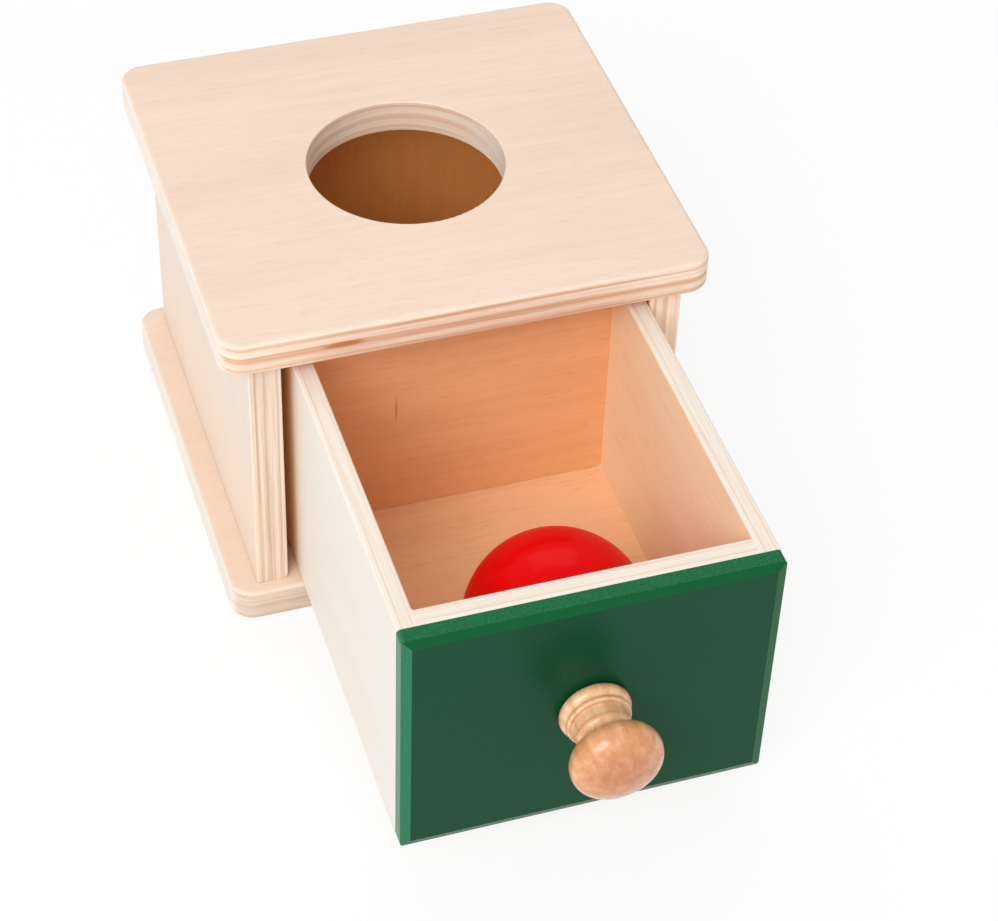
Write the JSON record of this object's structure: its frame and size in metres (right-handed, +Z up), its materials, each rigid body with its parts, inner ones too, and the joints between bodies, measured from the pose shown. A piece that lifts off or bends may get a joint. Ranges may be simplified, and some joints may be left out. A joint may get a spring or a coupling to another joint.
{
  "type": "object permanence box",
  "caption": "Plywood box with a round hole in its top board that lets a ball drop into a sliding drawer, which has a painted, bevelled front panel and a turned knob.",
  "frame": {"origin": "middle of the base board's underside", "axes": "+Z up, the drawer opens towards -Y, +X to the right of someone facing the drawer"},
  "size_m": [0.13, 0.2412, 0.0976],
  "materials": {
    "casing_plywood": "sanded and thinly sealed",
    "drawer_plywood": "sanded and thinly sealed",
    "dowel_wood": "plain, glued in",
    "green_paint": "satin green paint on wood",
    "varnished_wood": "turned and varnished",
    "screw_steel": "plain zinc-plated",
    "red_lacquer": "glossy red lacquer on wood"
  },
  "bodies": {
    "casing": {"base_board": "casing_plywood", "top_board": "casing_plywood", "left_panel": "casing_plywood", "right_panel": "casing_plywood", "back_panel": "casing_plywood", "base_dowels": "dowel_wood", "top_dowels": "dowel_wood", "back_dowels": "dowel_wood"},
    "drawer": {"drawer_left_wall": "drawer_plywood", "drawer_right_wall": "drawer_plywood", "drawer_front_wall": "drawer_plywood", "drawer_back_wall": "drawer_plywood", "drawer_floor": "drawer_plywood", "front_panel": "green_paint", "knob": "varnished_wood", "knob_screw": "screw_steel"},
    "ball": {"ball": "red_lacquer"}
  },
  "joints": [
    {"name": "drawer_slide", "type": "slide", "parent": "casing", "child": "drawer", "axis": [0, -1, 0], "range_m": [-0.0901, 0.012]},
    {"name": "ball_shift", "type": "slide", "parent": "drawer", "child": "ball", "axis": [0, 1, 0], "range_m": [0, 0.0495]}
  ]
}
